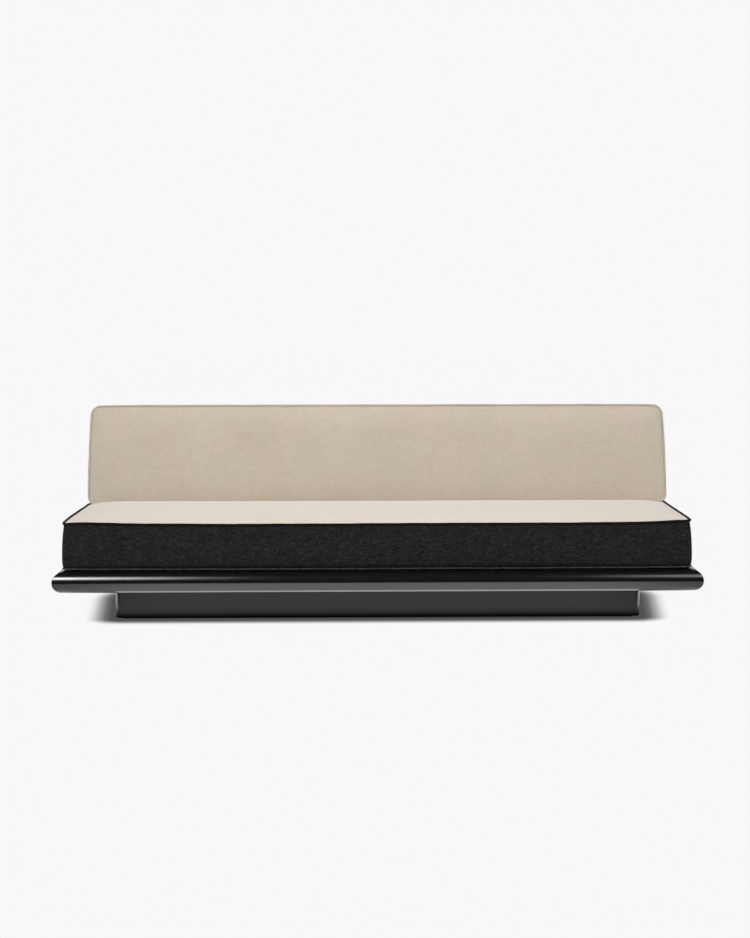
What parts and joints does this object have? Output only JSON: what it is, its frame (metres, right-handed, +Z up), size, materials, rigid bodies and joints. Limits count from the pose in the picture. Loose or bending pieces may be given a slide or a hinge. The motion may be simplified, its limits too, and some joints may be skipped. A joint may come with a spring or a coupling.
{
  "type": "sofa",
  "caption": "Low sofa with a loose velvet seat mattress and a leaning velvet backrest cushion on a black lacquered platform over a recessed plinth.",
  "frame": {"origin": "on the floor, under the middle of the platform", "axes": "+X along the sofa's length to the sitter's left, -Y towards the front, +Z up"},
  "size_m": [2.39, 0.96, 0.7748],
  "materials": {
    "black_lacquer": "gloss",
    "softwood": "matte",
    "plywood": "matte",
    "glide_plastic": "satin",
    "zinc_steel": "satin",
    "black_steel": "satin",
    "foam": "matte",
    "beige_velvet": "matte",
    "black_velvet": "matte"
  },
  "bodies": {
    "base": {"plinth_front_panel": "black_lacquer", "plinth_rear_panel": "black_lacquer", "plinth_left_panel": "black_lacquer", "plinth_right_panel": "black_lacquer", "plinth_post_front_left": "black_lacquer", "plinth_post_front_right": "black_lacquer", "plinth_post_rear_left": "black_lacquer", "plinth_post_rear_right": "black_lacquer", "platform_front_rail": "black_lacquer", "platform_rear_rail": "black_lacquer", "platform_left_rail": "black_lacquer", "platform_right_rail": "black_lacquer", "platform_deck": "black_lacquer", "platform_soffit": "black_lacquer", "plinth_stretcher_1": "softwood", "plinth_stretcher_2": "softwood", "plinth_stretcher_3": "softwood", "platform_rib_1": "softwood", "platform_rib_2": "softwood", "platform_rib_3": "softwood", "platform_rib_4": "softwood", "platform_rib_5": "softwood", "glide_front_left": "glide_plastic", "glide_front_centre": "glide_plastic", "glide_front_right": "glide_plastic", "glide_rear_left": "glide_plastic", "glide_rear_centre": "glide_plastic", "glide_rear_right": "glide_plastic", "plinth_bolt_front_left": "zinc_steel", "plinth_bolt_front_right": "zinc_steel", "plinth_bolt_rear_left": "zinc_steel", "plinth_bolt_rear_right": "zinc_steel", "blade_bolt_left_front": "zinc_steel", "blade_bolt_left_rear": "zinc_steel", "blade_bolt_centre_front": "zinc_steel", "blade_bolt_centre_rear": "zinc_steel", "blade_bolt_right_front": "zinc_steel", "blade_bolt_right_rear": "zinc_steel", "support_blade_left": "black_steel", "support_blade_centre": "black_steel", "support_blade_right": "black_steel"},
    "seat": {"seat_foam_core": "foam", "seat_top_panel": "beige_velvet", "seat_boxing": "black_velvet", "seat_bottom_panel": "black_velvet", "seat_top_welt": "black_velvet", "seat_bottom_welt": "black_velvet"},
    "backrest": {"backrest_socket_left": "black_steel", "backrest_socket_centre": "black_steel", "backrest_socket_right": "black_steel", "backrest_front_foam": "foam", "backrest_rear_foam": "foam", "backrest_front_panel": "beige_velvet", "backrest_rear_panel": "beige_velvet", "backrest_boxing": "beige_velvet", "backrest_front_welt": "beige_velvet", "backrest_rear_welt": "beige_velvet", "backrest_board": "plywood"}
  },
  "joints": [
    {"name": "backrest_lift", "type": "slide", "parent": "base", "child": "backrest", "axis": [0, 0.2079, 0.9781], "range_m": [0, 0.235]},
    {"name": "seat_slide", "type": "slide", "parent": "base", "child": "seat", "axis": [0, -1, 0], "range_m": [0, 0.12]}
  ]
}
